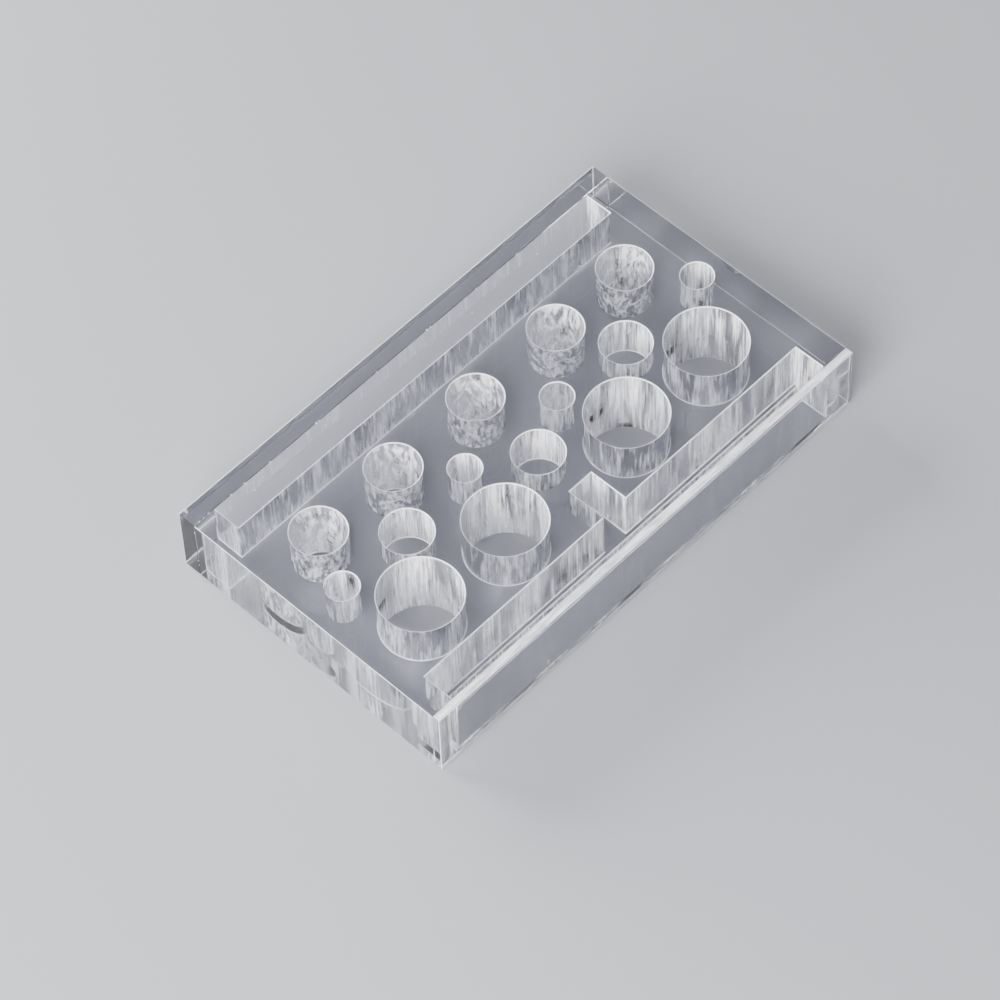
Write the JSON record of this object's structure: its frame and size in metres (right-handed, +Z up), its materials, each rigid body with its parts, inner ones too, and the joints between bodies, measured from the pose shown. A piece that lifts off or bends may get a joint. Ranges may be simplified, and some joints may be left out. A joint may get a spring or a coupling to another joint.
{
  "type": "acrylic tube and slide holder block",
  "caption": "Clear acrylic holder block with rows of round wells in several sizes, a long front slot with a square notch and a long back slot, each slot closed by a bonded strip.",
  "frame": {"origin": "centre of the footprint, on the underside", "axes": "+X along the length to the right, +Y from the thin front strip to the thicker back strip, +Z up out of the wells"},
  "size_m": [0.105, 0.0628, 0.015],
  "materials": {
    "block_acrylic": "cast acrylic, polished faces, tool-streaked cut walls",
    "front_rail_acrylic": "cast acrylic sheet, polished faces, sawn top edge",
    "back_rail_acrylic": "cast acrylic sheet, polished faces, polished edge"
  },
  "bodies": {
    "root": {"block": "block_acrylic", "front_rail": "front_rail_acrylic", "back_rail": "back_rail_acrylic"}
  },
  "joints": []
}
